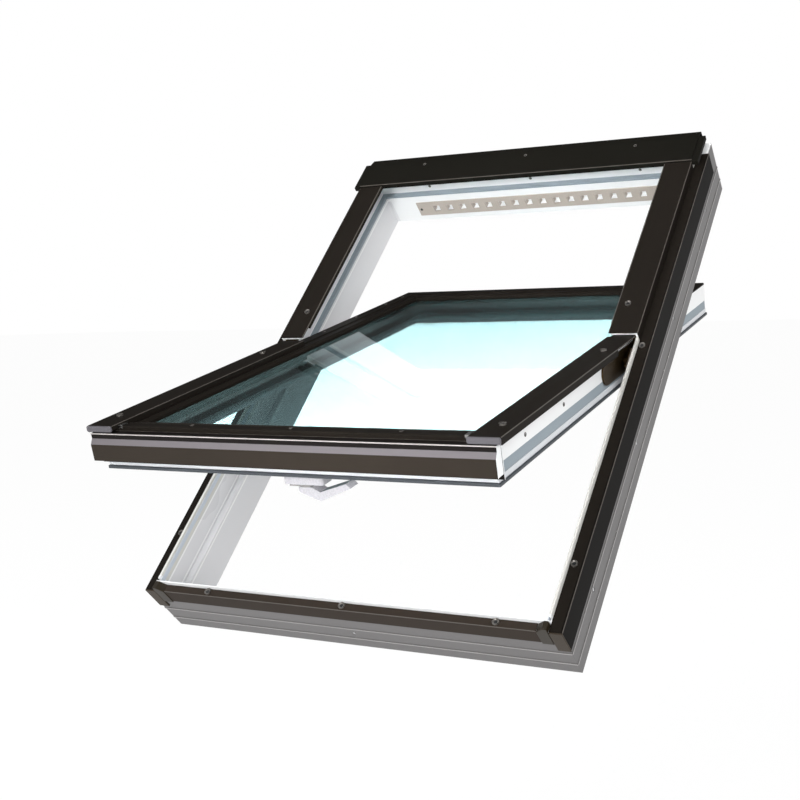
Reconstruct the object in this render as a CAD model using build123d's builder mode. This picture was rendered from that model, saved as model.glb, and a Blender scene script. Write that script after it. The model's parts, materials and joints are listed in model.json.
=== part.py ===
import os

from build123d import *

# Whole window, millimetres and degrees
roof_pitch = 45
opening_angle = 32.5
frame_width = 550
frame_height = 780
sheet = 1.2
fit_gap = 0.1
cut_over = 2

# Hinge line, above the middle and below the covers' underside
pivot_rise = 9.5
pivot_sink = 0.4

# PVC frame section, from the outer wall and from the room face
frame_wall = 2.8
reveal_depth = 25
rebate_depth = 16.5
rebate_height = 46
wall_drop = 6.6
sill_rebate_depth = 10.5
sill_upstand_thickness = 1.6
upstand_thickness = 3
rib_heights = (17, 38.5)
rib_width = 1.6
rib_proud = 0.8
fixing_hole_radius = 2.25
fixing_hole_height = 34
fixing_hole_shares = (-0.785, -0.262, 0.262, 0.785)
sill_hole_height = 29

# Frame gaskets, their ends measured from the hinge line
upper_gasket_height = 4
upper_gasket_rise = 46.5
gasket_inset = 0.5
upstand_gasket_top = 3
upstand_gasket_height = 6
upstand_gasket_proud = 1
upstand_gasket_drop = 45.5

# Jamb covers, sill cover and their plastic ends
jamb_cover_skirt = 33.4
jamb_cover_gap = 0.2
jamb_cover_short = 24
end_cap_thickness = 2
end_cap_height = 35.5
sill_cover_front = 22
sill_cover_top = 8.6
sill_cover_gap = 0.5
block_width = 13.5
block_foot = 22.4
block_top = 8
block_flat = 5
block_fall = 7

# Upper covers and stops
cover_stand = 4.4
upper_cover_width = 37.8
upper_cover_flange = 3.6
upper_cover_slant = 2.4
upper_cover_skirt = 12.6
cover_side_gap = 12.2
upper_cover_start = 8.5
upper_cover_notch = 20
upper_cover_gap = 0.4
stop_rise = 9.5
stop_plate = 3.2
stop_reach = 31.5
head_stop_reach = 37
stop_gap = 0.2

# Head hood
hood_side_over = 0.2
hood_rise = 1.4
hood_depth = 55.5
hood_lip_gap = 0.2
hood_flat_short = 5
hood_back_gap = 5
hood_fall = 2.5
hood_skirt = 38
hood_end_width = 9
hood_end_height = 6.6
hood_end_fall = 0.6
hood_end_reach = 2.5

# Vent grille
grille_side_gap = 48
grille_low = 10
grille_height = 25
grille_thickness = 2
grille_hole = 10.5
grille_pitch = 22.5
grille_margin = 22
vent_slot_margin = 5

# Hinge track and shoe
track_plate = 2.5
track_radius = 40
track_notch = 12
track_top = 3.6
rail_inner = 28
rail_outer = 33
rail_height = 3
shoe_plate = 2.4
shoe_low = 84
shoe_high = 40
shoe_top = 9
shoe_bottom = 38
jaw_thickness = 3
jaw_start = 9
jaw_end = 31
jaw_end_gap = 0.3
running_gap = 0.05

# PVC sash section, from its outer edge and from the room face, closed
sash_side_gap = 3
sash_sill_gap = 4
sash_head_gap = 9.5
sash_rest_gap = 1
sash_thickness = 41
sash_width = 46
head_rail_width = 66
sash_chamfer = 3
glazing_foot = 10
glazing_wall = 17
band_rise = 6
band_height = 12
band_depth = 3
band_inset = 0.4
edge_seal_height = 4
edge_seal_width = 6
edge_seal_proud = 1.8

# Glass unit
pane_gap = 2
pane_thickness = 4
pane_space = 16
glazing_gasket_height = 2
glazing_gasket_inset = 4
glazing_gasket_width = 18
sealant_width = 7
spacer_width = 6

# Glazing bars
bar_height = 3
bar_ledge = 1.5
bar_flat = 18
bar_step = 20
bar_ramp = 30
bar_width = 34
bar_bevel = 1
bottom_bar_height = 6
bottom_bar_radius = 4

# Bottom cover
bottom_side_over = 7.4
bottom_stand = 14.8
bottom_face_height = 19.2
bottom_bevel_height = 6.4
bottom_bevel_in = 3.8
bottom_rim = 5
bottom_sink = 0.6
bottom_lip_reach = 1.2
bottom_lip = 1.1

# Lower covers
lower_cover_inset = 3.5
lower_cover_width = 36.3
lower_cover_stand = 8.5
lower_cover_skirt = 8.2
lower_skirt_short = 55
lower_cover_rise = 6
lower_cap_thickness = 2.5
lower_cap_height = 7
lower_cap_radius = 2
clip_width = 7
clip_length = 10
clip_height = 4

# Handle, its spindle set in from the edge of the bottom rail
handle_across = 9
handle_in = 21
handle_base_length = 50
handle_base_width = 20
handle_base_height = 17
handle_base_radius = 4
spindle_radius = 5
tongue_gap = 0.3
tongue_thickness = 3
tongue_length = 21
tongue_width = 12
hub_radius = 9
hub_height = 6
lever_thickness = 5
lever_drop = 9
lever_knee = 18
lever_reach = 57.5
lever_rise = 21
lever_width = 16

# Strike plate
strike_half_width = 20
strike_thickness = 2
strike_leg = 18
strike_reach = 9
strike_gap = 0.5

# Screws
pan_radius = 4
pan_height = 2.2
shank_radius = 1.9
pan_shank = 9
upper_shank = 4
small_radius = 2.4
small_height = 0.6
small_shank = 2
small_shank_radius = 1.2
sill_screw_shares = (-0.73, 0.03, 0.8)
sill_screw_in = 4.6
jamb_screw_shares = (-0.785, 0.024)
jamb_screw_in = 8
upper_screw_rise = 67
upper_screw_in = 24
hood_screw_shares = (-0.62, 0.02, 0.66)
hood_screw_in = 15
head_screw_shares = (-0.65, 0, 0.65)
head_screw_rise = 12.5
vent_screw_shares = (-0.97, 0.97)
lower_screw_shares = (0.9, 0.143)
lower_screw_in = 15.5
bottom_screw_shares = (-0.5, 0.03, 0.57)
bar_screw_shares = (0.25, 0.5, 0.75, 0.9)
bar_screw_in = 9
side_screw_shares = (0.81, 0.526)
side_screw_drop = 14.5

half_width = frame_width / 2
half_height = frame_height / 2
reveal_x = half_width - reveal_depth
reveal_y = half_height - reveal_depth
rebate_x = half_width - rebate_depth
rebate_y = half_height - rebate_depth
upstand_x = rebate_x + upstand_thickness
upstand_y = rebate_y + upstand_thickness
sill_rebate_y = half_height - sill_rebate_depth
sash_low = rebate_height + sash_rest_gap
sash_high = sash_low + sash_thickness
wall_height = sash_high - wall_drop
upstand_top = sash_high
bar_top = sash_high + bar_height
cover_height = bar_top + cover_stand
cover_top = cover_height + sheet
pivot_height = cover_height - pivot_sink
cover_half_width = half_width - cover_side_gap
upper_cover_inner = cover_half_width - upper_cover_width
lower_half_width = cover_half_width - lower_cover_inset
lower_cover_inner = lower_half_width - lower_cover_width
lower_cover_end = pivot_rise + lower_cover_rise
hood_half_width = cover_half_width + hood_side_over
hood_front = half_height - hood_depth
hood_height = cover_top + hood_rise
hood_top = hood_height + sheet
upper_cover_end = hood_front - upper_cover_gap
grille_half_width = reveal_x - grille_side_gap
grille_holes = round(2 * (grille_half_width - grille_margin) / grille_pitch)
sash_half = reveal_x - sash_side_gap
sash_bottom = sash_sill_gap - reveal_y
sash_top = reveal_y - sash_head_gap
bottom_face = sash_bottom - bottom_stand
lower_cover_front = sash_bottom - lower_cover_stand
bottom_half_width = sash_half + bottom_side_over
handle_up = sash_bottom + handle_in
glazing_floor = sash_low + glazing_foot
band_low = sash_low + band_rise
band_high = band_low + band_height
pane_inset = glazing_wall + pane_gap
pane_low = glazing_floor + glazing_gasket_height
pane_mid = pane_low + pane_thickness
pane_high = pane_mid + pane_space
pane_top = pane_high + pane_thickness
base_low = sash_low - handle_base_height
tongue_high = base_low - tongue_gap

# The roof's slope, and the sash turned open on its hinge line
roof = Location((0, 0, 0), (roof_pitch, 0, 0))
hinge_line = Location((0, pivot_rise, pivot_height))
swing = Location((0, 0, 0), (-opening_angle, 0, 0))
leaf = roof * hinge_line * swing * hinge_line.inverse()
into_face = (Align.CENTER, Align.CENTER, Align.MAX)
on_face = (Align.CENTER, Align.CENTER, Align.MIN)


def carried(place, plane):
    return Plane(place * plane.location)


def facing(place, height):
    return carried(place, Plane.XY.offset(height))


def across(place, reach):
    return carried(place, Plane.YZ.offset(reach))


def along(place, rise):
    return carried(place, Plane.XZ.offset(-rise))


def outlined(points, mode=Mode.ADD):
    with BuildLine() as rim:
        Polyline(*points, close=True)
    make_face(rim.edges(), mode=mode)


def run_across(place, points, start, end):
    with BuildPart() as run:
        with BuildSketch(across(place, start)):
            outlined(points)
        extrude(amount=end - start)
    return run.part


def run_along(place, points, start, end):
    with BuildPart() as run:
        with BuildSketch(along(place, start)):
            outlined(points)
        extrude(amount=start - end)
    return run.part


def run_out(place, points, start, end):
    with BuildPart() as run:
        with BuildSketch(facing(place, start)):
            outlined(points)
        extrude(amount=end - start)
    return run.part


def box_points(left, right, low, high):
    return [(left, low), (right, low), (right, high), (left, high)]


def ring(place, half, low, high, width, start, end):
    with BuildPart() as band:
        with BuildSketch(facing(place, start)):
            outlined(box_points(-half, half, low, high))
            outlined(box_points(width - half, half - width, low + width, high - width), Mode.SUBTRACT)
        extrude(amount=end - start)
    return band.part


def lying(place, outlines, half, edge, sign):
    with BuildPart() as bar:
        with BuildSketch(across(place, -half)):
            for number, outline in enumerate(outlines):
                mode = Mode.SUBTRACT if number else Mode.ADD
                outlined([(edge + sign * depth, height) for depth, height in outline], mode)
        extrude(amount=half + half)
        for end in (-half, half):
            lean = -1 if end > 0 else 1
            mitre = Plane((end, edge, 0), z_dir=(lean, -sign, 0))
            split(bisect_by=carried(place, mitre), keep=Keep.TOP)
    return bar.part


def standing(place, outlines, half, low, high):
    with BuildPart() as bar:
        with BuildSketch(along(place, low)):
            for number, outline in enumerate(outlines):
                mode = Mode.SUBTRACT if number else Mode.ADD
                outlined([(half - depth, height) for depth, height in outline], mode)
        extrude(amount=low - high)
        split(bisect_by=carried(place, Plane((half, low, 0), z_dir=(1, 1, 0))), keep=Keep.TOP)
        split(bisect_by=carried(place, Plane((half, high, 0), z_dir=(1, -1, 0))), keep=Keep.TOP)
    return bar.part


def mirrored(piece):
    with BuildPart() as twin:
        mirror(piece, about=Plane.YZ)
    return twin.part


def spot(place, where, turn=(0, 0, 0)):
    return place * Location(where, turn)


def drilled(spots, radius, depth):
    with Locations(*spots):
        Cylinder(radius, depth, align=into_face, mode=Mode.SUBTRACT)


def pan_screws(spots, shank):
    with BuildPart() as group:
        with Locations(*spots):
            Cylinder(pan_radius, pan_height, align=on_face)
            Cylinder(shank_radius, shank, align=into_face)
    return group.part


def small_screws(spots):
    with BuildPart() as group:
        with Locations(*spots):
            Cylinder(small_radius, small_height, align=on_face)
            Cylinder(small_shank_radius, small_shank, align=into_face)
    return group.part


def finished(piece, name):
    piece.label = name
    export_step(piece, "parts/" + name + ".step")


os.makedirs("parts", exist_ok=True)
to_left = (0, -90, 0)
to_right = (0, 90, 0)
to_sill = (90, 0, 0)

# Screw places
sill_spots = [spot(roof, (share * reveal_x, sill_screw_in - half_height, wall_height + sheet))
              for share in sill_screw_shares]
jamb_spots = [spot(roof, (side * (half_width - jamb_screw_in), share * half_height, wall_height + sheet))
              for share in jamb_screw_shares for side in (-1, 1)]
upper_spots = [spot(roof, (side * (cover_half_width - upper_screw_in), upper_screw_rise, cover_top))
               for side in (-1, 1)]
hood_spots = [spot(roof, (share * hood_half_width, half_height - hood_screw_in, hood_top))
              for share in hood_screw_shares]
head_spots = [spot(roof, (share * hood_half_width, rebate_y, rebate_height + head_screw_rise), to_sill)
              for share in head_screw_shares]
grille_face = reveal_y - grille_thickness
grille_middle = grille_low + grille_height / 2
vent_spots = [spot(roof, (share * grille_half_width, grille_face, grille_middle), to_sill)
              for share in vent_screw_shares]
lower_spots = [spot(leaf, (side * (lower_half_width - lower_screw_in), share * lower_cover_front, cover_top))
               for share in lower_screw_shares for side in (-1, 1)]
bottom_bar_top = sash_high + bottom_bar_height
bottom_spots = [spot(leaf, (share * sash_half, sash_bottom + bar_screw_in, bottom_bar_top))
                for share in bottom_screw_shares]
side_bar_spots = [spot(leaf, (side * (sash_half - bar_screw_in), share * sash_top, bar_top))
                  for share in bar_screw_shares for side in (-1, 1)]
stile_spots = [spot(leaf, (side * sash_half, share * sash_bottom, sash_high - side_screw_drop), turn)
               for share in side_screw_shares for side, turn in ((-1, to_left), (1, to_right))]
fixing_spots = [spot(roof, (half_width + rib_proud, share * half_height, fixing_hole_height), to_right)
                for share in fixing_hole_shares]

# PVC frame: four hollow members, mitred at the corners
def frame_section(rebate, lip):
    outline = [(0, 0), (reveal_depth, 0), (reveal_depth, rebate_height), (rebate, rebate_height),
               (rebate, upstand_top), (rebate - lip, upstand_top), (rebate - lip, wall_height),
               (0, wall_height)]
    for rib in reversed(rib_heights):
        outline += [(0, rib + rib_width), (-rib_proud, rib + rib_width), (-rib_proud, rib), (0, rib)]
    room_chamber = box_points(frame_wall, reveal_depth - frame_wall, frame_wall, rebate_height - frame_wall)
    outer_chamber = box_points(frame_wall, rebate - frame_wall, rebate_height, wall_height - frame_wall)
    return [outline, room_chamber, outer_chamber]


sill_outlines = frame_section(sill_rebate_depth, sill_upstand_thickness)
frame_outlines = frame_section(rebate_depth, upstand_thickness)
sill_length = lying(roof, sill_outlines, half_width, -half_height, 1)
lip_end_points = box_points(upstand_x, half_width, wall_height, upstand_top + cut_over)
lip_cut = run_along(roof, lip_end_points, -half_height, cut_over - sill_rebate_y)
with BuildPart() as frame_sill:
    add(sill_length)
    add(lip_cut, mode=Mode.SUBTRACT)
    add(mirrored(lip_cut), mode=Mode.SUBTRACT)
    drilled(sill_spots, shank_radius + fit_gap, pan_shank + fit_gap)
    drilled([spot(roof, (0, -half_height - rib_proud, sill_hole_height), to_sill)],
            fixing_hole_radius, frame_wall + rib_proud + cut_over)

head_length = lying(roof, frame_outlines, half_width, half_height, -1)
with BuildPart() as frame_head:
    add(head_length)
    drilled(head_spots, small_shank_radius + fit_gap, small_shank + fit_gap)
    drilled(vent_spots, small_shank_radius + fit_gap, small_shank + grille_thickness)
    slot_half = grille_half_width - 2 * vent_slot_margin
    slot_low = grille_low + vent_slot_margin
    slot_high = grille_low + grille_height - vent_slot_margin
    with BuildSketch(across(roof, -slot_half)):
        outlined(box_points(reveal_y - cut_over, reveal_y + frame_wall + cut_over, slot_low, slot_high))
    extrude(amount=2 * slot_half, mode=Mode.SUBTRACT)

jamb_length = standing(roof, frame_outlines, half_width, -half_height, half_height)
with BuildPart() as frame_right_jamb:
    add(jamb_length)
    drilled(fixing_spots, fixing_hole_radius, frame_wall + rib_proud + cut_over)
    drilled(jamb_spots, shank_radius + fit_gap, pan_shank + fit_gap)

finished(frame_sill.part, "frame_sill")
finished(frame_head.part, "frame_head")
finished(frame_right_jamb.part, "frame_right_jamb")
finished(mirrored(frame_right_jamb.part), "frame_left_jamb")

# Grey gaskets: on the rebate floor above the hinges, on the upstand below them
upper_gasket_start = pivot_rise + upper_gasket_rise
strip_x = reveal_x + gasket_inset
strip_y = reveal_y + gasket_inset
upper_gasket_points = [(strip_x, upper_gasket_start), (rebate_x, upper_gasket_start), (rebate_x, rebate_y),
                       (-rebate_x, rebate_y), (-rebate_x, upper_gasket_start),
                       (-strip_x, upper_gasket_start), (-strip_x, strip_y), (strip_x, strip_y)]
upper_gasket = run_out(roof, upper_gasket_points, rebate_height, rebate_height + upper_gasket_height)
finished(upper_gasket, "upper_gasket")

upstand_gasket_end = pivot_rise - upstand_gasket_drop
lip_x = rebate_x - upstand_gasket_proud
lip_y = upstand_gasket_proud - sill_rebate_y
upstand_gasket_points = [(lip_x, upstand_gasket_end), (rebate_x, upstand_gasket_end),
                         (rebate_x, -sill_rebate_y), (-rebate_x, -sill_rebate_y),
                         (-rebate_x, upstand_gasket_end),
                         (-lip_x, upstand_gasket_end), (-lip_x, lip_y), (lip_x, lip_y)]
upstand_gasket_high = upstand_top - upstand_gasket_top
upstand_gasket_low = upstand_gasket_high - upstand_gasket_height
upstand_gasket = run_out(roof, upstand_gasket_points, upstand_gasket_low, upstand_gasket_high)
finished(upstand_gasket, "upstand_gasket")

# Folded jamb covers with a plastic cap at the lower end
jamb_top = wall_height + sheet
jamb_inner = upstand_x + jamb_cover_gap
jamb_outer = half_width + rib_proud + jamb_cover_gap
jamb_low = jamb_top - jamb_cover_skirt
jamb_points = [(jamb_inner, wall_height), (jamb_outer, wall_height), (jamb_outer, jamb_low),
               (jamb_outer + sheet, jamb_low), (jamb_outer + sheet, jamb_top), (jamb_inner, jamb_top)]
jamb_sheet = run_along(roof, jamb_points, -half_height, half_height - jamb_cover_short)
with BuildPart() as jamb_cover_right:
    add(jamb_sheet)
    drilled(jamb_spots, shank_radius + fit_gap, sheet)
cap_points = box_points(jamb_inner, jamb_outer + sheet, jamb_top - end_cap_height, jamb_top)
jamb_end_cap = run_along(roof, cap_points, -half_height - end_cap_thickness, -half_height)
finished(jamb_cover_right.part, "jamb_cover_right")
finished(mirrored(jamb_cover_right.part), "jamb_cover_left")
finished(jamb_end_cap, "jamb_end_cap_right")
finished(mirrored(jamb_end_cap), "jamb_end_cap_left")

# Plastic corner blocks saddling the sill, and the folded sill cover between them
block_outer = upstand_x - jamb_cover_gap
block_inner = block_outer - block_width
block_back = -sill_rebate_y - sill_upstand_thickness - jamb_cover_gap
block_front = -half_height - end_cap_thickness
block_low = wall_height - block_foot
block_high = wall_height + block_top
wedge_points = [(block_inner, wall_height), (block_outer, wall_height), (block_outer, block_high),
                (block_outer - block_flat, block_high), (block_inner, block_high - block_fall)]
wedge = run_along(roof, wedge_points, block_front, block_back)
foot_points = box_points(block_inner, block_outer, block_low, wall_height)
foot = run_along(roof, foot_points, block_front, -half_height)
with BuildPart() as corner_block:
    add(wedge)
    add(foot)
finished(corner_block.part, "corner_block_right")
finished(mirrored(corner_block.part), "corner_block_left")

sill_end = block_inner - sill_cover_gap
sill_low = jamb_top - sill_cover_front
sill_points = [(-half_height - sheet, sill_low), (-half_height, sill_low),
               (-half_height, wall_height), (sill_cover_top - half_height, wall_height),
               (sill_cover_top - half_height, jamb_top), (-half_height - sheet, jamb_top)]
sill_sheet = run_across(roof, sill_points, -sill_end, sill_end)
with BuildPart() as sill_cover:
    add(sill_sheet)
    drilled(sill_spots, shank_radius + fit_gap, sheet)
finished(sill_cover.part, "sill_cover")

# White stops over the upper half of the sash, standing on the upstand
stop_low = cover_height - stop_gap - stop_plate
stop_top = cover_height - stop_gap
stop_points = [(rebate_x - stop_reach, stop_low), (rebate_x, stop_low), (rebate_x, upstand_top),
               (upstand_x, upstand_top), (upstand_x, stop_top), (rebate_x - stop_reach, stop_top)]
stop_length = run_along(roof, stop_points, pivot_rise + stop_rise, upper_cover_end)
with BuildPart() as upper_stop_right:
    add(stop_length)
    drilled(upper_spots, shank_radius + fit_gap, pan_shank)
head_stop_front = rebate_y - head_stop_reach
head_stop_points = [(head_stop_front, stop_low), (rebate_y, stop_low), (rebate_y, upstand_top),
                    (upstand_y, upstand_top), (upstand_y, stop_top), (head_stop_front, stop_top)]
head_stop = run_across(roof, head_stop_points, -upstand_x, upstand_x)
finished(upper_stop_right.part, "upper_stop_right")
finished(mirrored(upper_stop_right.part), "upper_stop_left")
finished(head_stop, "head_stop")

# Folded upper covers, notched on the inner flange at the lower end
skirt_low = cover_top - upper_cover_skirt
flange_low = cover_top - upper_cover_flange
flange_in = upper_cover_inner - upper_cover_slant
upper_points = [(cover_half_width, skirt_low), (cover_half_width, cover_top), (upper_cover_inner, cover_top),
                (flange_in, flange_low), (flange_in + sheet, flange_low),
                (upper_cover_inner + sheet, cover_height), (cover_half_width - sheet, cover_height),
                (cover_half_width - sheet, skirt_low)]
cover_start = pivot_rise + upper_cover_start
upper_sheet = run_along(roof, upper_points, cover_start, upper_cover_end)
notch_points = box_points(flange_in - cut_over, upper_cover_inner + sheet, flange_low - cut_over,
                          cover_height)
low_notch = run_along(roof, notch_points, cover_start - cut_over, cover_start + upper_cover_notch)
with BuildPart() as upper_cover_right:
    add(upper_sheet)
    add(low_notch, mode=Mode.SUBTRACT)
    drilled(upper_spots, shank_radius + fit_gap, sheet)
finished(upper_cover_right.part, "upper_cover_right")
finished(mirrored(upper_cover_right.part), "upper_cover_left")

# Head hood: front lip, top sheet falling at the back and back skirt, closed by end pieces
lip_low = bar_top + hood_lip_gap
hood_flat_end = half_height - hood_flat_short
hood_back = half_height + rib_proud + hood_back_gap
hood_skirt_low = hood_height - hood_skirt
hood_points = [(hood_front, lip_low), (hood_front, hood_top), (hood_flat_end, hood_top),
               (hood_back + sheet, hood_top - hood_fall), (hood_back + sheet, hood_skirt_low),
               (hood_back, hood_skirt_low), (hood_back, hood_height - hood_fall),
               (hood_flat_end, hood_height), (hood_front + sheet, hood_height), (hood_front + sheet, lip_low)]
hood_sheet = run_across(roof, hood_points, -hood_half_width, hood_half_width)
with BuildPart() as head_hood:
    add(hood_sheet)
    drilled(hood_spots, small_shank_radius + fit_gap, sheet)
hood_outer = hood_half_width + hood_end_width
hood_end_top = hood_top - hood_end_fall
hood_end_points = box_points(hood_half_width, hood_outer, hood_end_top - hood_end_height, hood_end_top)
hood_end = run_along(roof, hood_end_points, hood_front - hood_end_reach, hood_flat_end)
finished(head_hood.part, "head_hood")
finished(hood_end, "hood_end_right")
finished(mirrored(hood_end), "hood_end_left")

# Vent grille with a row of square holes, over the slot in the head
with BuildPart() as vent_grille:
    with BuildSketch(along(roof, reveal_y)):
        outlined(box_points(-grille_half_width, grille_half_width, grille_low, grille_low + grille_height))
        with Locations((0, grille_middle)):
            with GridLocations(grille_pitch, 0, grille_holes, 1):
                Rectangle(grille_hole, grille_hole, mode=Mode.SUBTRACT)
    extrude(amount=grille_thickness)
    drilled(vent_spots, small_shank_radius + fit_gap, grille_thickness)
finished(vent_grille.part, "vent_grille")

# Hinges: a curved rail on the jamb, gripped by a shoe on the stile
track_front = rebate_x - track_plate
rail_front = track_front - rail_height
with BuildPart() as hinge_track_right:
    with BuildSketch(across(roof, track_front)):
        with Locations((pivot_rise, pivot_height)):
            Circle(track_radius)
            Circle(track_notch, mode=Mode.SUBTRACT)
        cap_high = pivot_height + track_radius
        cap_low = pivot_height - track_top
        outlined(box_points(pivot_rise - track_radius, pivot_rise + track_radius, cap_low, cap_high),
                 Mode.SUBTRACT)
    extrude(amount=track_plate)
    with BuildSketch(across(roof, rail_front)):
        with Locations((pivot_rise, pivot_height)):
            Circle(rail_outer)
            Circle(rail_inner, mode=Mode.SUBTRACT)
        outlined(box_points(pivot_rise - track_radius, pivot_rise + track_radius, cap_low, cap_high),
                 Mode.SUBTRACT)
    extrude(amount=rail_height)
finished(hinge_track_right.part, "hinge_track_right")
finished(mirrored(hinge_track_right.part), "hinge_track_left")

jaw_span = jaw_end - jaw_start
shoe_middle = pivot_rise + (shoe_high - shoe_low) / 2
with BuildPart() as hinge_shoe_right:
    with BuildSketch(across(leaf, sash_half)):
        with Locations((shoe_middle, pivot_height - (shoe_top + shoe_bottom) / 2)):
            SlotOverall(shoe_high + shoe_low, shoe_bottom - shoe_top)
    extrude(amount=shoe_plate)
    with BuildSketch(across(leaf, sash_half + shoe_plate)):
        for inner in (rail_inner - running_gap - jaw_thickness, rail_outer + running_gap):
            with BuildLine():
                low_arc = CenterArc((pivot_rise, pivot_height), inner, -jaw_end, jaw_span)
                high_arc = CenterArc((pivot_rise, pivot_height), inner + jaw_thickness, -jaw_end, jaw_span)
                Line(low_arc @ 0, high_arc @ 0)
                Line(low_arc @ 1, high_arc @ 1)
            make_face()
    extrude(amount=track_front - jaw_end_gap - sash_half - shoe_plate)
finished(hinge_shoe_right.part, "hinge_shoe_right")
finished(mirrored(hinge_shoe_right.part), "hinge_shoe_left")

# Strike bracket on the sill reveal, under which the tongue turns
strike_height = tongue_high + strike_gap
strike_low = strike_height - strike_leg
strike_points = [(-reveal_y, strike_low), (strike_thickness - reveal_y, strike_low),
                 (strike_thickness - reveal_y, strike_height), (strike_reach - reveal_y, strike_height),
                 (strike_reach - reveal_y, strike_height + strike_thickness),
                 (-reveal_y, strike_height + strike_thickness)]
strike_start = handle_across - strike_half_width
strike_plate = run_across(roof, strike_points, strike_start, handle_across + strike_half_width)
finished(strike_plate, "strike_plate")

finished(pan_screws(sill_spots + jamb_spots, pan_shank), "frame_cover_screws")
finished(pan_screws(upper_spots, upper_shank), "upper_cover_screws")
finished(small_screws(hood_spots), "hood_screws")
finished(small_screws(head_spots), "head_screws")
finished(small_screws(vent_spots), "vent_screws")

# PVC sash: four hollow members, mitred, with a glazing rebate and a gasket groove
sash_outline = [(0, sash_low), (sash_width - sash_chamfer, sash_low), (sash_width, sash_low + sash_chamfer),
                (sash_width, glazing_floor - sash_chamfer), (sash_width - sash_chamfer, glazing_floor),
                (glazing_wall, glazing_floor), (glazing_wall, sash_high), (0, sash_high), (0, band_high),
                (band_depth, band_high), (band_depth, band_low), (0, band_low)]
sash_chamber = box_points(band_depth + frame_wall, sash_width - sash_chamfer - frame_wall,
                          sash_low + frame_wall, glazing_floor - frame_wall)
edge_chamber = box_points(band_depth + frame_wall, glazing_wall - frame_wall, glazing_floor + frame_wall,
                          sash_high - frame_wall)
sash_outlines = [sash_outline, sash_chamber, edge_chamber]

sash_bottom_rail = lying(leaf, sash_outlines, sash_half, sash_bottom, 1)
top_rail_length = lying(leaf, sash_outlines, sash_half, sash_top, -1)
stile_length = standing(leaf, sash_outlines, sash_half, sash_bottom, sash_top)
with BuildPart() as sash_right_stile:
    add(stile_length)
    drilled(stile_spots, small_shank_radius + fit_gap, small_shank + fit_gap)
    drilled(lower_spots, shank_radius + fit_gap, pan_shank + fit_gap)

# The top rail is broader and reaches further in under the glass
shelf_root = sash_top - sash_width + sash_chamfer
shelf_end = sash_top - head_rail_width
shelf_half = sash_half - sash_width - fit_gap
shelf_points = [(shelf_root, sash_low), (shelf_end + sash_chamfer, sash_low),
                (shelf_end, sash_low + sash_chamfer), (shelf_end, glazing_floor - sash_chamfer),
                (shelf_end + sash_chamfer, glazing_floor), (shelf_root, glazing_floor)]
shelf_chamber = box_points(shelf_end + frame_wall, shelf_root - frame_wall, sash_low + frame_wall,
                           glazing_floor - frame_wall)
shelf = run_across(leaf, shelf_points, -shelf_half, shelf_half)
shelf_hollow = run_across(leaf, shelf_chamber, -shelf_half, shelf_half)
with BuildPart() as sash_top_rail:
    add(top_rail_length)
    add(shelf)
    add(shelf_hollow, mode=Mode.SUBTRACT)
finished(sash_bottom_rail, "sash_bottom_rail")
finished(sash_top_rail.part, "sash_top_rail")
finished(sash_right_stile.part, "sash_right_stile")
finished(mirrored(sash_right_stile.part), "sash_left_stile")

# Gasket band in the groove and seal along the room-side edge
band_half = sash_half - band_inset
sash_band = ring(leaf, band_half, sash_bottom + band_inset, sash_top - band_inset, band_depth - band_inset,
                 band_low, band_high)
finished(sash_band, "sash_band")
edge_half = sash_half + edge_seal_proud
edge_seal = ring(leaf, edge_half, sash_bottom - edge_seal_proud, sash_top + edge_seal_proud, edge_seal_width,
                 sash_low - edge_seal_height, sash_low)
finished(edge_seal, "edge_seal")

# Glass unit: two panes on a spacer with edge sealant, lying on a gasket
pane_half = sash_half - pane_inset
pane_bottom = sash_bottom + pane_inset
pane_head = sash_top - pane_inset
pane_points = box_points(-pane_half, pane_half, pane_bottom, pane_head)
finished(run_out(leaf, pane_points, pane_low, pane_mid), "inner_pane")
finished(run_out(leaf, pane_points, pane_high, pane_top), "outer_pane")
finished(ring(leaf, pane_half, pane_bottom, pane_head, sealant_width, pane_mid, pane_high), "pane_sealant")
finished(ring(leaf, pane_half - sealant_width, pane_bottom + sealant_width, pane_head - sealant_width,
              spacer_width, pane_mid, pane_high), "pane_spacer")
glazing_gasket = ring(leaf, pane_half - glazing_gasket_inset, pane_bottom + glazing_gasket_inset,
                      pane_head - glazing_gasket_inset, glazing_gasket_width, glazing_floor, pane_low)
finished(glazing_gasket, "glazing_gasket")

# Glazing bars over the pane's edge; the bottom one is taller and rounded
bar_outline = [(0, sash_high), (0, bar_top - bar_bevel), (bar_bevel, bar_top), (bar_flat, bar_top),
               (bar_step, bar_top - bar_ledge), (bar_ramp, bar_top - bar_ledge),
               (bar_width, sash_high - bar_ledge), (bar_width, pane_top), (glazing_wall, pane_top),
               (glazing_wall, sash_high)]
top_bar = lying(leaf, [bar_outline], sash_half, sash_top, -1)
side_bar_length = standing(leaf, [bar_outline], sash_half, sash_bottom, sash_top)
with BuildPart() as side_bar_right:
    add(side_bar_length)
    drilled(side_bar_spots, small_shank_radius + fit_gap, small_shank + fit_gap)
    drilled(lower_spots, shank_radius + fit_gap, pan_shank + fit_gap)
crown_half = lower_cover_inner - clip_width - fit_gap
crown_outline = [(0, bar_top - bar_bevel), (0, bottom_bar_top - bar_bevel), (bar_bevel, bottom_bar_top),
                 (bar_flat - bottom_bar_radius, bottom_bar_top), (bar_flat, bar_top), (bar_bevel, bar_top)]
crown_points = [(sash_bottom + depth, height) for depth, height in crown_outline]
bottom_bar_length = lying(leaf, [bar_outline], sash_half, sash_bottom, 1)
crown = run_across(leaf, crown_points, -crown_half, crown_half)
with BuildPart() as bottom_bar:
    add(bottom_bar_length)
    add(crown)
    drilled(bottom_spots, small_shank_radius + fit_gap, small_shank + fit_gap)
finished(top_bar, "top_bar")
finished(side_bar_right.part, "side_bar_right")
finished(mirrored(side_bar_right.part), "side_bar_left")
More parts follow.
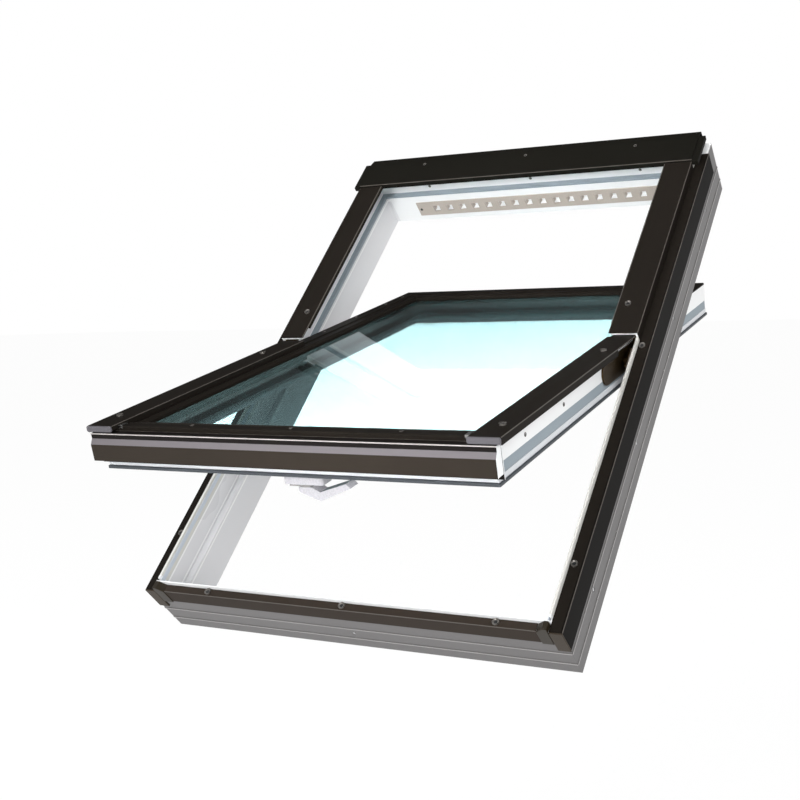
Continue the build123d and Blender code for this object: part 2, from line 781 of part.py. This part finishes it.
finished(bottom_bar.part, "bottom_bar")

# Folded bottom cover before the bottom rail, its lip reaching over the sill's upstand
bottom_back = bottom_face + sheet
recess = bottom_face + bottom_bevel_in
lip_end = recess - bottom_lip_reach
bottom_top = sash_high - bottom_sink
bottom_bevel_high = bottom_top - bottom_rim
bottom_bevel_low = bottom_bevel_high - bottom_bevel_height
bottom_face_low = bottom_bevel_low - bottom_face_height
bottom_points = [(bottom_face, bottom_face_low), (bottom_face, bottom_bevel_low), (recess, bottom_bevel_high),
                 (recess, bottom_top), (lip_end, bottom_top), (lip_end, bottom_top + bottom_lip),
                 (sash_bottom, bottom_top + bottom_lip), (sash_bottom, sash_low + edge_seal_height),
                 (sash_bottom - sheet, sash_low + edge_seal_height), (sash_bottom - sheet, bottom_top),
                 (recess + sheet, bottom_top), (recess + sheet, bottom_bevel_high),
                 (bottom_back, bottom_bevel_low), (bottom_back, bottom_face_low)]
bottom_cover = run_across(leaf, bottom_points, -bottom_half_width, bottom_half_width)
finished(bottom_cover, "bottom_cover")

# Folded lower covers with end caps and corner clips
lower_low = cover_top - lower_cover_skirt
lower_flange = bar_top - bar_ledge
lower_points = [(lower_half_width, lower_low), (lower_half_width, cover_top), (lower_cover_inner, cover_top),
                (lower_cover_inner, lower_flange), (lower_cover_inner + sheet, lower_flange),
                (lower_cover_inner + sheet, cover_height), (lower_half_width - sheet, cover_height),
                (lower_half_width - sheet, lower_low)]
lower_sheet = run_along(leaf, lower_points, lower_cover_front, lower_cover_end)
saddle_points = box_points(lower_cover_inner - cut_over, lower_cover_inner + cut_over,
                           lower_flange - cut_over, bar_top + fit_gap)
saddle = run_along(leaf, saddle_points, lower_cover_front - cut_over, sash_bottom + bar_step)
skirt_cut_points = box_points(lower_half_width - sheet - fit_gap, lower_half_width + cut_over,
                              lower_low - cut_over, cover_height)
skirt_end = pivot_rise - lower_skirt_short
skirt_cut = run_along(leaf, skirt_cut_points, skirt_end, lower_cover_end + cut_over)
with BuildPart() as lower_cover_right:
    add(lower_sheet)
    add(saddle, mode=Mode.SUBTRACT)
    add(skirt_cut, mode=Mode.SUBTRACT)
    drilled(lower_spots, shank_radius + fit_gap, sheet)
with BuildPart() as lower_cap_right:
    with BuildSketch(along(leaf, lower_cover_front)):
        outlined(box_points(lower_cover_inner, lower_half_width, cover_top - lower_cap_height, cover_top))
        fillet(vertices(), radius=lower_cap_radius)
    extrude(amount=lower_cap_thickness)
finished(lower_cover_right.part, "lower_cover_right")
finished(mirrored(lower_cover_right.part), "lower_cover_left")
clip_points = box_points(lower_cover_inner - clip_width, lower_cover_inner, bar_top, bar_top + clip_height)
corner_clip = run_along(leaf, clip_points, sash_bottom, sash_bottom + clip_length)
with BuildPart() as corner_clips:
    add(corner_clip)
    mirror(corner_clip, about=Plane.YZ)
finished(corner_clips.part, "corner_clips")
finished(lower_cap_right.part, "lower_cap_right")
finished(mirrored(lower_cap_right.part), "lower_cap_left")

# Handle: base on the bottom rail, lever and tongue on one spindle
with BuildPart() as handle_base:
    with BuildSketch(facing(leaf, base_low)):
        with Locations((handle_across, handle_up)):
            RectangleRounded(handle_base_length, handle_base_width, handle_base_radius)
            Circle(spindle_radius + running_gap, mode=Mode.SUBTRACT)
    extrude(amount=handle_base_height)
finished(handle_base.part, "handle_base")

tongue_low = tongue_high - tongue_thickness
hub_low = tongue_low - hub_height
with BuildPart() as latch_tongue:
    with BuildSketch(facing(leaf, tongue_low)):
        with Locations((handle_across, handle_up)):
            Circle(hub_radius)
            with Locations((-tongue_length / 2, 0)):
                Rectangle(tongue_length, tongue_width)
            Circle(spindle_radius + fit_gap, mode=Mode.SUBTRACT)
    extrude(amount=tongue_thickness)
finished(latch_tongue.part, "latch_tongue")

arm_start = handle_across - lever_width / 2
knee_x = handle_across + lever_knee
knee_low = hub_low - lever_drop
tip_x = handle_across + lever_reach
tip_low = knee_low + lever_rise
lever_points = [(arm_start, tongue_low), (handle_across + hub_radius, tongue_low),
                (knee_x, knee_low + lever_thickness + lever_thickness), (tip_x - lever_thickness, tip_low),
                (tip_x, tip_low - lever_thickness), (knee_x, knee_low), (arm_start, hub_low)]
with BuildPart() as handle_lever:
    with BuildSketch(along(leaf, handle_up + lever_width / 2)):
        outlined(lever_points)
    extrude(amount=lever_width)
    with Locations(spot(leaf, (handle_across, handle_up, tongue_low))):
        Cylinder(spindle_radius, sash_low - tongue_low - tongue_gap, align=on_face)
finished(handle_lever.part, "handle_lever")

finished(pan_screws(lower_spots, pan_shank), "lower_cover_screws")
finished(small_screws(bottom_spots + side_bar_spots), "bar_screws")
finished(small_screws(stile_spots), "stile_screws")
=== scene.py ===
import json
import math

import bmesh
import bpy
from mathutils import Matrix, Vector

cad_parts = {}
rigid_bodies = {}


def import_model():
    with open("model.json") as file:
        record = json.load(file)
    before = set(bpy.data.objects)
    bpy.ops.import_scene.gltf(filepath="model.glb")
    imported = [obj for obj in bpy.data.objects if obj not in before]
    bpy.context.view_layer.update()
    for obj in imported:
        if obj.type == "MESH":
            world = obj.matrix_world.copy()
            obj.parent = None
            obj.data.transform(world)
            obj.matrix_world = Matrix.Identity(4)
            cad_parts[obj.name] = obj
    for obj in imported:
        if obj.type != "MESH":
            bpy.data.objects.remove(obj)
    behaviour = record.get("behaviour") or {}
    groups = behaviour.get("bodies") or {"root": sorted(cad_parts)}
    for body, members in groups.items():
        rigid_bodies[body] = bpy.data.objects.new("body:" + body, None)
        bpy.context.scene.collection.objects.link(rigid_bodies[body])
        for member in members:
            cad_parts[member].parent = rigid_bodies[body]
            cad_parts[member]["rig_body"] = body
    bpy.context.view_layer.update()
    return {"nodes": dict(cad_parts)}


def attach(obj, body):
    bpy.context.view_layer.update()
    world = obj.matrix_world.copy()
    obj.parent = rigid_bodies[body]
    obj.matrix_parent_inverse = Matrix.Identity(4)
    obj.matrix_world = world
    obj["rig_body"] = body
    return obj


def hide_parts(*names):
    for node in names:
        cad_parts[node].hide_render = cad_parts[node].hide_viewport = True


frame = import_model()
nodes = frame["nodes"]

# directions of the roof frame and of the open sash, at rest
across = Vector((1, 0, 0))
roofUp, roofOut = Vector((0, 0.70711, 0.70711)), Vector((0, -0.70711, 0.70711))
leafUp, leafOut = Vector((0, 0.9763, 0.21644)), Vector((0, -0.21644, 0.9763))
# the closed sash lies this much further along roofUp and roofOut than the open one along its own
leafRise, leafHeight = 0.05253, 0.009774
print("frame loaded:", len(nodes), "nodes")


# a shader socket that takes part in Python sums
class Wire:
    def __init__(self, tree, socket):
        self.tree, self.socket = tree, socket

    def math(self, operation, other=None, swapped=False):
        node = self.tree.nodes.new("ShaderNodeMath")
        node.operation = operation
        for index, value in enumerate((other, self) if swapped else (self, other)):
            if isinstance(value, Wire):
                self.tree.links.new(value.socket, node.inputs[index])
            elif value is not None:
                node.inputs[index].default_value = value
        return Wire(self.tree, node.outputs[0])

    def __add__(self, other):
        return self.math("ADD", other)

    def __sub__(self, other):
        return self.math("SUBTRACT", other)

    def __rsub__(self, other):
        return self.math("SUBTRACT", other, True)

    def __mul__(self, other):
        return self.math("MULTIPLY", other)

    def __gt__(self, other):
        return self.math("GREATER_THAN", other)

    def __lt__(self, other):
        return self.math("LESS_THAN", other)

    def __abs__(self):
        return self.math("ABSOLUTE")

    def most(self, other):
        return self.math("MAXIMUM", other)

    def least(self, other):
        return self.math("MINIMUM", other)

    __radd__, __rmul__ = __add__, __mul__


bumpDepth = 0.0001  # metres, for every grain


# the node tree of a material or of the world
class Finish:
    def __init__(self, owner):
        self.owner = owner
        owner.use_nodes = True
        self.tree = owner.node_tree
        self.tree.nodes.clear()

    def node(self, kind, settings=None, inputs=None, out=0):
        node = self.tree.nodes.new(kind)
        for key, value in (settings or {}).items():
            setattr(node, key, value)
        for key, value in (inputs or {}).items():
            if isinstance(value, Wire):
                self.tree.links.new(value.socket, node.inputs[key])
            else:
                node.inputs[key].default_value = value
        return Wire(self.tree, node.outputs[out])

    def place(self):
        return self.node("ShaderNodeTexCoord", out="Object")

    def along(self, direction):
        sockets = {0: self.place(), 1: direction}
        return self.node("ShaderNodeVectorMath", {"operation": "DOT_PRODUCT"}, sockets, "Value")

    def noise(self, scale, detail=3.0):
        sockets = {"Vector": self.place(), "Scale": scale, "Detail": detail}
        return self.node("ShaderNodeTexNoise", inputs=sockets)

    def blend(self, mask, first, second):
        return self.node("ShaderNodeMix", {"data_type": "RGBA"}, {0: mask, 6: first, 7: second}, 2)

    def bump(self, height, strength):
        sockets = {"Height": height, "Strength": strength, "Distance": bumpDepth}
        return self.node("ShaderNodeBump", inputs=sockets)

    def ray(self, name):
        return self.node("ShaderNodeLightPath", out=name)

    def surface(self, inputs, kind="ShaderNodeBsdfPrincipled"):
        shader = self.node(kind, inputs=inputs)
        home = "World" if isinstance(self.owner, bpy.types.World) else "Material"
        self.tree.links.new(shader.socket, self.tree.nodes.new("ShaderNodeOutput" + home).inputs["Surface"])
        return self.owner


def paint(name):
    return Finish(bpy.data.materials.new(name))


def rgb(code):
    parts = [int(code[index:index + 2], 16) / 255 for index in (0, 2, 4)]
    linear = [part / 12.92 if part <= 0.04045 else ((part + 0.055) / 1.055) ** 2.4 for part in parts]
    return (*linear, 1)


# how every plain paint, rubber, plastic and metal varies: broad clouds and a fine grain
grainLook = {"detail": 2.0, "cloud": 9.0, "cloudShare": 0.6, "grainShare": 0.4, "grainRough": 0.14,
             "cloudRough": 0.1, "gloss": 0.5, "relief": 0.2}


def plain(name, look):
    finish = paint(name)
    grain, cloud = finish.noise(look["grain"], grainLook["detail"]), finish.noise(grainLook["cloud"])
    mottle = cloud * grainLook["cloudShare"] + grain * grainLook["grainShare"]
    color = finish.blend(mottle, rgb(look["dark"]), rgb(look["light"]))
    if "skirt" in look:  # outer side faces, painted darker as shade
        color = finish.blend(abs(finish.along(across)) > look["skirtFrom"], color, rgb(look["skirt"]))
    rough = (grain - 0.5) * grainLook["grainRough"] + (cloud - 0.5) * grainLook["cloudRough"] + look["rough"]
    return finish.surface({"Base Color": color, "Roughness": rough, "Metallic": look.get("metal", 0.0),
                           "Specular IOR Level": look.get("gloss", grainLook["gloss"]),
                           "Normal": finish.bump(grain, look.get("relief", grainLook["relief"]))})


looks = {
    "cladding": {"dark": "191613", "light": "231f1b", "rough": 0.5, "grain": 1400.0, "gloss": 0.04},
    # painted highlight for the bevelled fold lines of the dark covers
    "foldHighlight": {"dark": "45413d", "light": "5e5954", "rough": 0.36, "grain": 900.0, "gloss": 0.2},
    "block": {"dark": "1b150d", "light": "30281a", "rough": 0.4, "grain": 420.0, "gloss": 0.3},
    "paleGasket": {"dark": "c0c9d3", "light": "d8dee5", "rough": 0.5, "grain": 500.0},
    # jamb covers: the darker colour on their outer side faces is painted shade
    "jamb": {"dark": "191613", "light": "231f1b", "rough": 0.5, "grain": 1400.0, "gloss": 0.03,
             "skirt": "0f0d0b", "skirtFrom": 0.2748},
    "sheetBrown": {"dark": "2d2722", "light": "3a322c", "rough": 0.5, "grain": 1400.0, "gloss": 0.05},
    "hood": {"dark": "13120f", "light": "1c1b17", "rough": 0.5, "grain": 1400.0, "gloss": 0.04},
    "cap": {"dark": "4e4c50", "light": "5d5b60", "rough": 0.5, "grain": 900.0, "gloss": 0.3},
    "brown": {"dark": "271f16", "light": "3e3427", "rough": 0.45, "grain": 420.0, "gloss": 0.25},
    "gasket": {"dark": "7f8b94", "light": "9ba6ad", "rough": 0.55, "grain": 500.0},
    "seal": {"dark": "2b2f33", "light": "4a5056", "rough": 0.5, "grain": 500.0},
    "glazing": {"dark": "101112", "light": "1d1f20", "rough": 0.5, "grain": 500.0},
    "bronze": {"dark": "15100b", "light": "57452a", "rough": 0.3, "grain": 150.0, "metal": 0.8},
    "steel": {"dark": "8c8b89", "light": "c9c8c6", "rough": 0.24, "grain": 300.0, "metal": 1.0},
    "darkSteel": {"dark": "54504c", "light": "98948f", "rough": 0.28, "grain": 350.0, "metal": 0.7},
    "vent": {"dark": "a69c91", "light": "bcb3aa", "rough": 0.5, "grain": 600.0},
    "handle": {"dark": "b2b1b6", "light": "bebdc2", "rough": 0.28, "grain": 500.0, "relief": 0.05},
    # painted shade for the inner face of the handle's rising arm
    "leverShade": {"dark": "4a5b5e", "light": "66777a", "rough": 0.5, "grain": 500.0},
}
finishes = {name: plain(name, look) for name, look in looks.items()}

pvcLook = {"white": "f4f4f3", "cool": "e9ebed", "rough": 0.3, "roughSpread": 0.12, "grain": 900.0,
           "cloud": 6.0, "relief": 0.05}
# grey outer walls of the frame, with a low band and paler ribs painted as highlights; sides, slopes and
# heights in metres
wallLook = {"wall": "605e5e", "low": "5e5c5c", "rib": "959392", "side": 0.2744, "slope": 0.3894,
            "top": 0.0805, "lowTop": 0.0175, "ribSide": 0.2753, "ribSlope": 0.3903, "rougher": 0.12}
# rebate inside the jambs, greyed as painted shade, with a cream edge and fine pale lines painted as
# highlights
rebateLook = {"face": "e4e3e5", "cream": "dad9d4", "line": "fbfbfa", "sideFrom": 0.245, "sideTo": 0.262,
              "slope": 0.372, "creamFrom": 0.0735, "lines": (0.0425, 0.05, 0.072), "lineHalf": 0.0011}
footLook = {"shade": "d3d6da", "top": 0.0532}  # shaded foot of the sash


def pvcBase(name):
    finish = paint(name)
    cloud = finish.noise(pvcLook["cloud"])
    color = finish.blend(cloud, rgb(pvcLook["white"]), rgb(pvcLook["cool"]))
    return finish, color, (cloud - 0.5) * pvcLook["roughSpread"] + pvcLook["rough"]


def pvcSurface(finish, color, rough):
    grain = finish.noise(pvcLook["grain"], grainLook["detail"])
    return finish.surface({"Base Color": color, "Roughness": rough,
                           "Normal": finish.bump(grain, pvcLook["relief"])})


def pvcFrame():
    finish, color, rough = pvcBase("pvcFrame")
    side, slope, height = abs(finish.along(across)), abs(finish.along(roofUp)), finish.along(roofOut)
    outer = (side > wallLook["side"]).most(slope > wallLook["slope"]) * (height < wallLook["top"])
    grey = finish.blend(height < wallLook["lowTop"], rgb(wallLook["wall"]), rgb(wallLook["low"]))
    # rib crests take a paler colour as painted highlight
    ribs = (side > wallLook["ribSide"]).most(slope > wallLook["ribSlope"])
    color = finish.blend(outer, color, finish.blend(ribs, grey, rgb(wallLook["rib"])))
    inner = (side > rebateLook["sideFrom"]) * (side < rebateLook["sideTo"]) * (slope < rebateLook["slope"])
    # inner faces greyed as painted shade; the pale lines below are painted highlights
    color = finish.blend(inner, color, rgb(rebateLook["face"]))
    color = finish.blend(inner * (height > rebateLook["creamFrom"]), color, rgb(rebateLook["cream"]))
    for level in rebateLook["lines"]:
        line = inner * (abs(height - level) < rebateLook["lineHalf"])
        color = finish.blend(line, color, rgb(rebateLook["line"]))
    return pvcSurface(finish, color, rough + outer * wallLook["rougher"])


def pvcSash():
    finish, color, rough = pvcBase("pvcSash")
    foot = finish.along(leafOut) + leafHeight < footLook["top"]
    return pvcSurface(finish, finish.blend(foot, color, rgb(footLook["shade"])), rough)


finishes["pvc"], finishes["sash"] = pvcFrame(), pvcSash()

# bottom cover: brown face, then a pale bevel, a dark rim and a pale top edge from these heights up
apronLook = {"face": "29241f", "faceLight": "36302a", "bands": ((0.0762, "6c686b"), (0.0823, "191615"),
             (0.0872, "b4afad")), "back": "191615", "backFrom": -0.4245, "end": "e0e2e4", "endFrom": 0.2541,
             "grain": 1400.0, "cloud": 11.0, "rough": 0.42, "gloss": 0.08}


def apronBands():
    finish = paint("apronBands")
    grain, cloud = finish.noise(apronLook["grain"], grainLook["detail"]), finish.noise(apronLook["cloud"])
    mottle = cloud * grainLook["cloudShare"] + grain * grainLook["grainShare"]
    color = finish.blend(mottle, rgb(apronLook["face"]), rgb(apronLook["faceLight"]))
    height = finish.along(leafOut) + leafHeight
    for level, band in apronLook["bands"]:
        color = finish.blend(height > level, color, rgb(band))
    color = finish.blend(finish.along(leafUp) > apronLook["backFrom"], color, rgb(apronLook["back"]))
    color = finish.blend(abs(finish.along(across)) > apronLook["endFrom"], color, rgb(apronLook["end"]))
    rough = (grain - 0.5) * grainLook["grainRough"] + apronLook["rough"]
    return finish.surface({"Base Color": color, "Roughness": rough, "Specular IOR Level": apronLook["gloss"],
                           "Normal": finish.bump(grain, grainLook["relief"])})


finishes["apron"] = apronBands()

glassLook = {"tinted": (0.4, 0.63, 0.66, 1), "clear": (0.98, 1, 0.99, 1), "ior": 1.5, "haze": 0.004,
             "cloud": 14.0}
for name in ("tinted", "clear"):
    pane = paint(name + "Glass")
    haze = pane.noise(glassLook["cloud"]) * glassLook["haze"]
    finishes[name] = pane.surface({"Base Color": glassLook[name], "Roughness": haze, "IOR": glassLook["ior"],
                                   "Transmission Weight": 1.0})
print("finishes made:", len(finishes))

# CAD pieces with eased edges; long folds get a painted highlight line, screw heads a recess painted black as
# shade
ease = {"merge": 0.000002, "flatAngle": 0.007, "rimAngle": 0.5, "segments": 2, "profile": 0.5}
foldLine = {"length": 0.15, "angle": 0.4, "flange": 0.003, "width": 0.0008}
recess = {"sides": 11, "rimShare": 0.5, "depthShare": 0.3}


def isFold(seam):
    if seam.calc_length() < foldLine["length"] or not seam.is_convex:
        return False
    narrowest = min(face.calc_area() for face in seam.link_faces) / seam.calc_length()
    return seam.calc_face_angle(0) > foldLine["angle"] and narrowest > foldLine["flange"]


def sinkHeads(shape, headArea):
    heads = [face for face in shape.faces
             if len(face.verts) > recess["sides"] and face.calc_area() > headArea]
    reach = math.sqrt(headArea / math.pi)
    bmesh.ops.inset_individual(shape, faces=heads, thickness=reach * recess["rimShare"],
                               depth=-reach * recess["depthShare"])
    return heads


# paints a highlight on the long convex folds through their bevel faces
def paintFoldHighlights(shape):
    folds = [seam for seam in shape.edges if isFold(seam)]
    return bmesh.ops.bevel(shape, geom=folds, offset=foldLine["width"], offset_type="OFFSET", affect="EDGES",
                           segments=ease["segments"], profile=0.5, material=-1)["faces"]


def eased(name, finish, width, second=None, headArea=0.0):
    mesh = nodes[name].data.copy()
    mesh.name = name + "Skin"
    mesh.materials.clear()  # also resets every face's material
    shape = bmesh.new()
    shape.from_mesh(mesh)
    bmesh.ops.remove_doubles(shape, verts=shape.verts, dist=ease["merge"])
    bmesh.ops.dissolve_limit(shape, angle_limit=ease["flatAngle"], verts=shape.verts, edges=shape.edges)
    # the second finish paints the fold bevels as highlights, or the screw recesses black as shade
    if second:
        for face in sinkHeads(shape, headArea) if headArea else paintFoldHighlights(shape):
            face.material_index = 1
    shape.to_mesh(mesh)
    shape.free()
    for layer in filter(None, (finish, second)):
        mesh.materials.append(finishes[layer])
    mesh.polygons.foreach_set("use_smooth", [width > 0] * len(mesh.polygons))  # panes stay flat
    piece = bpy.data.objects.new(name + "Skin", mesh)
    bpy.context.scene.collection.objects.link(piece)
    if width:
        rim = piece.modifiers.new("rim", "BEVEL")
        rim.width, rim.segments, rim.profile = width, ease["segments"], ease["profile"]
        rim.limit_method, rim.angle_limit, rim.harden_normals = "ANGLE", ease["rimAngle"], True
        piece.modifiers.new("flats", "WEIGHTED_NORMAL").keep_sharp = True
    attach(piece, nodes[name]["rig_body"])
    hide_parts(name)


# finish, width of the eased edges, finish of the painted fold highlights, pieces
skins = [
    ("pvc", 0.0006, None, ("frame_sill", "frame_head", "frame_left_jamb", "frame_right_jamb")),
    ("sash", 0.0007, None, ("sash_bottom_rail", "sash_top_rail", "sash_left_stile", "sash_right_stile",
                            "upper_stop_left", "upper_stop_right", "head_stop")),
    ("jamb", 0.0004, "foldHighlight", ("jamb_cover_left", "jamb_cover_right")),
    ("cladding", 0.0004, "foldHighlight", ("upper_cover_left", "upper_cover_right", "lower_cover_left",
                                  "lower_cover_right", "bottom_bar")),
    ("cladding", 0.0005, None, ("top_bar", "side_bar_left", "side_bar_right")),
    ("sheetBrown", 0.0004, "foldHighlight", ("sill_cover",)),
    ("apron", 0.0004, None, ("bottom_cover",)),
    ("hood", 0.0004, "foldHighlight", ("head_hood",)),
    ("hood", 0.0006, None, ("hood_end_left", "hood_end_right")),
    ("cap", 0.0007, None, ("lower_cap_left", "lower_cap_right")),
    ("brown", 0.0008, None, ("jamb_end_cap_left", "jamb_end_cap_right")),
    ("block", 0.0008, None, ("corner_block_left", "corner_block_right")),
    ("gasket", 0.0005, None, ("upper_gasket", "sash_band")),
    ("paleGasket", 0.0005, None, ("upstand_gasket",)),
    ("seal", 0.001, None, ("edge_seal",)),
    ("glazing", 0.0005, None, ("glazing_gasket", "pane_sealant")),
    ("bronze", 0.0004, None, ("hinge_track_left", "hinge_track_right", "hinge_shoe_left",
                              "hinge_shoe_right")),
    ("steel", 0.0003, None, ("strike_plate", "corner_clips", "latch_tongue", "pane_spacer")),
    ("vent", 0.0005, None, ("vent_grille",)),
    ("handle", 0.0018, None, ("handle_base", "handle_lever")),
    ("tinted", 0.0, None, ("outer_pane",)),
    ("clear", 0.0, None, ("inner_pane",)),
]
for finish, width, second, names in skins:
    for name in names:
        eased(name, finish, width, second)

# least head area in square metres, screws; their recesses take the black glazing finish as painted shade
screwRim = 0.0002
screws = {0.000045: ("frame_cover_screws", "upper_cover_screws", "lower_cover_screws"),
          0.000016: ("hood_screws", "head_screws", "vent_screws", "bar_screws", "stile_screws")}
for headArea, names in screws.items():
    for name in names:
        eased(name, "darkSteel", screwRim, "glazing", headArea)

# painted shade: grey inner face on the handle's rising arm
leverShadeFace = {"rise": 0.3, "lean": -0.2}  # least share of its normal along leafOut, most along x
lever = bpy.data.objects["handle_leverSkin"].data
lever.materials.append(finishes["leverShade"])
for face in lever.polygons:
    if face.normal.dot(leafOut) > leverShadeFace["rise"] and face.normal.x < leverShadeFace["lean"]:
        face.material_index = 1
print("pieces eased:", len(nodes))

# white plugs in the open ends of the bottom cover, drawn on the closed sash
plugs = {"outline": ((-0.3745, 0.057), (-0.3745, 0.076), (-0.3708, 0.0823), (-0.3708, 0.0872),
                     (-0.3623, 0.0872), (-0.3623, 0.057)), "start": 0.2515, "thick": 0.0023, "edge": 0.0003}
plugShape = bmesh.new()
for side in (-1, 1):
    corners = [plugShape.verts.new(across * side * plugs["start"] + leafUp * (up - leafRise)
                                   + leafOut * (out - leafHeight)) for up, out in plugs["outline"]]
    grown = bmesh.ops.extrude_face_region(plugShape, geom=[plugShape.faces.new(corners)])["geom"]
    bmesh.ops.translate(plugShape, vec=across * side * plugs["thick"],
                        verts=[part for part in grown if isinstance(part, bmesh.types.BMVert)])
bmesh.ops.recalc_face_normals(plugShape, faces=plugShape.faces)
bmesh.ops.bevel(plugShape, geom=plugShape.edges[:], offset=plugs["edge"], offset_type="OFFSET",
                affect="EDGES", segments=ease["segments"], profile=0.5, material=-1)
plugMesh = bpy.data.meshes.new("coverPlugs")
plugShape.to_mesh(plugMesh)
plugShape.free()
plugMesh.materials.append(finishes["sash"])
coverPlugs = bpy.data.objects.new("coverPlugs", plugMesh)
bpy.context.scene.collection.objects.link(coverPlugs)
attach(coverPlugs, nodes["bottom_cover"]["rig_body"])
print("cover plugs set")

# vent cups: pale pockets behind the square holes, with beige and brown painted as shade on their sides
cups = {"count": 16, "pitch": 0.0225, "half": 0.0052, "inset": 0.0022, "depth": 0.0055, "slope": 0.365,
        "height": 0.0225, "shadeFrom": 0.3}
cupShape = bmesh.new()
for index in range(cups["count"]):
    shift = (index - (cups["count"] - 1) / 2) * cups["pitch"]
    home = Matrix((across, roofOut, -roofUp)).transposed().to_4x4()
    home.translation = across * shift + roofUp * cups["slope"] + roofOut * cups["height"]
    mouth = bmesh.ops.create_grid(cupShape, x_segments=1, y_segments=1, size=cups["half"], matrix=home)
    bmesh.ops.inset_individual(cupShape, faces=mouth["verts"][0].link_faces[:], thickness=cups["inset"],
                               depth=-cups["depth"])
cupShape.normal_update()
for face in cupShape.faces:
    # faces turned sideways or inward are painted as shade
    sideways, inward = face.normal.x > cups["shadeFrom"], face.normal.dot(roofOut) < -cups["shadeFrom"]
    face.material_index = 2 if inward else int(sideways)
cupMesh = bpy.data.meshes.new("ventCups")
cupShape.to_mesh(cupMesh)
cupShape.free()
for name in ("sash", "vent", "brown"):
    cupMesh.materials.append(finishes[name])
ventCups = bpy.data.objects.new("ventCups", cupMesh)
bpy.context.scene.collection.objects.link(ventCups)
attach(ventCups, nodes["vent_grille"]["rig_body"])
print("vent cups set:", cups["count"])

# stage: the backdrop is brighter only where it is seen straight through the panes
stage = {"level": -0.62, "size": 60.0, "floor": rgb("f4f4f4"), "white": (1, 1, 1, 1), "floorGlow": 1.04,
         "floorShown": 0.86, "ambient": 0.66, "through": 6.9, "ceilingFrom": 0.1, "ceilingRise": 5.0,
         "ceilingDark": 0.94}
rayKinds = ("Is Camera Ray", "Is Glossy Ray", "Is Transmission Ray")
floorShape = bmesh.new()
bmesh.ops.create_grid(floorShape, x_segments=1, y_segments=1, size=stage["size"],
                      matrix=Matrix.Translation((0, 0, stage["level"])))
floorMesh = bpy.data.meshes.new("floor")
floorShape.to_mesh(floorMesh)
floorShape.free()
floor = bpy.data.objects.new("floor", floorMesh)
bpy.context.scene.collection.objects.link(floor)
ground = paint("floorPale")
seen, glossy, through = (ground.ray(kind) for kind in rayKinds)
direct = through * (ground.ray("Diffuse Depth") < 0.5) * (ground.ray("Glossy Depth") < 0.5)
strength = seen * stage["floorGlow"] + glossy + direct * stage["through"]
glow = ground.node("ShaderNodeEmission", inputs={"Color": stage["white"], "Strength": strength})
matte = ground.node("ShaderNodeBsdfDiffuse", inputs={"Color": stage["floor"]})
shown = (seen * stage["floorShown"]).most(glossy.most(direct))
floorMesh.materials.append(ground.surface({0: shown, 1: matte, 2: glow}, "ShaderNodeMixShader"))

# world: white to the camera, a dark ceiling in reflections
world = bpy.data.worlds.new("studio")
bpy.context.scene.world = world
air = Finish(world)
seen, glossy, through = (air.ray(kind) for kind in rayKinds)
rise = air.node("ShaderNodeSeparateXYZ", inputs={0: air.node("ShaderNodeTexCoord")}, out=2)
ceiling = ((rise - stage["ceilingFrom"]) * stage["ceilingRise"]).least(1.0).most(0.0)
sight = through * (air.ray("Diffuse Depth") < 0.5)
direct = sight * (air.ray("Glossy Depth") < 0.5)
mirror = glossy.most(sight) - direct
others = 1 - seen.most(mirror).most(direct)
strength = (seen + mirror * (1 - ceiling * stage["ceilingDark"]) + direct * stage["through"]
            + others * stage["ambient"])
air.surface({"Color": stage["white"], "Strength": strength}, "ShaderNodeBackground")

lampAim = (0, -0.1, 0)
lamps = {"key": {"at": (-1.6, -2.2, 2.6), "size": 2.4, "power": 41.0},
         "fill": {"at": (2.8, -1.6, 1.4), "size": 2.2, "power": 36.0},
         "low": {"at": (0.5, -2.6, 0.1), "size": 2.0, "power": 32.0},
         "head": {"at": (0.25, -1.5, 0.2), "size": 0.4, "power": 1.05, "target": (-0.02, 0.24, 0.25),
                  "spread": 0.7}}
for name, lamp in lamps.items():
    light = bpy.data.lights.new(name, "AREA")
    light.shape, light.size, light.energy = "DISK", lamp["size"], lamp["power"]
    light.spread = lamp.get("spread", math.pi)
    holder = bpy.data.objects.new(name, light)
    aim = (Vector(lamp.get("target", lampAim)) - Vector(lamp["at"])).to_track_quat("-Z", "Y")
    holder.matrix_world = Matrix.Translation(lamp["at"]) @ aim.to_matrix().to_4x4()
    bpy.context.scene.collection.objects.link(holder)

# camera matched to the photo; focal length and centre in its pixels
photo = {"place": (0.7446, -1.4323, 0.10981), "right": (0.893063, 0.449307, -0.023689),
         "ahead": (-0.448746, 0.885657, -0.119328), "focal": 1197.21, "centre": (480.51, 456.15),
         "width": 800, "sensor": 36}
lens = bpy.data.cameras.new("photoCamera")
lens.sensor_width, lens.lens = photo["sensor"], photo["focal"] * photo["sensor"] / photo["width"]
lens.shift_x = 0.5 - photo["centre"][0] / photo["width"]
lens.shift_y = photo["centre"][1] / photo["width"] - 0.5
viewer = bpy.data.objects.new("photoCamera", lens)
right, ahead = Vector(photo["right"]).normalized(), Vector(photo["ahead"]).normalized()
turn = Matrix((right, right.cross(ahead), -ahead)).transposed().to_4x4()
viewer.matrix_world = Matrix.Translation(photo["place"]) @ turn
bpy.context.scene.collection.objects.link(viewer)
bpy.context.scene.camera = viewer
bpy.context.scene.view_settings.view_transform = "Standard"
print("stage, light and camera set")
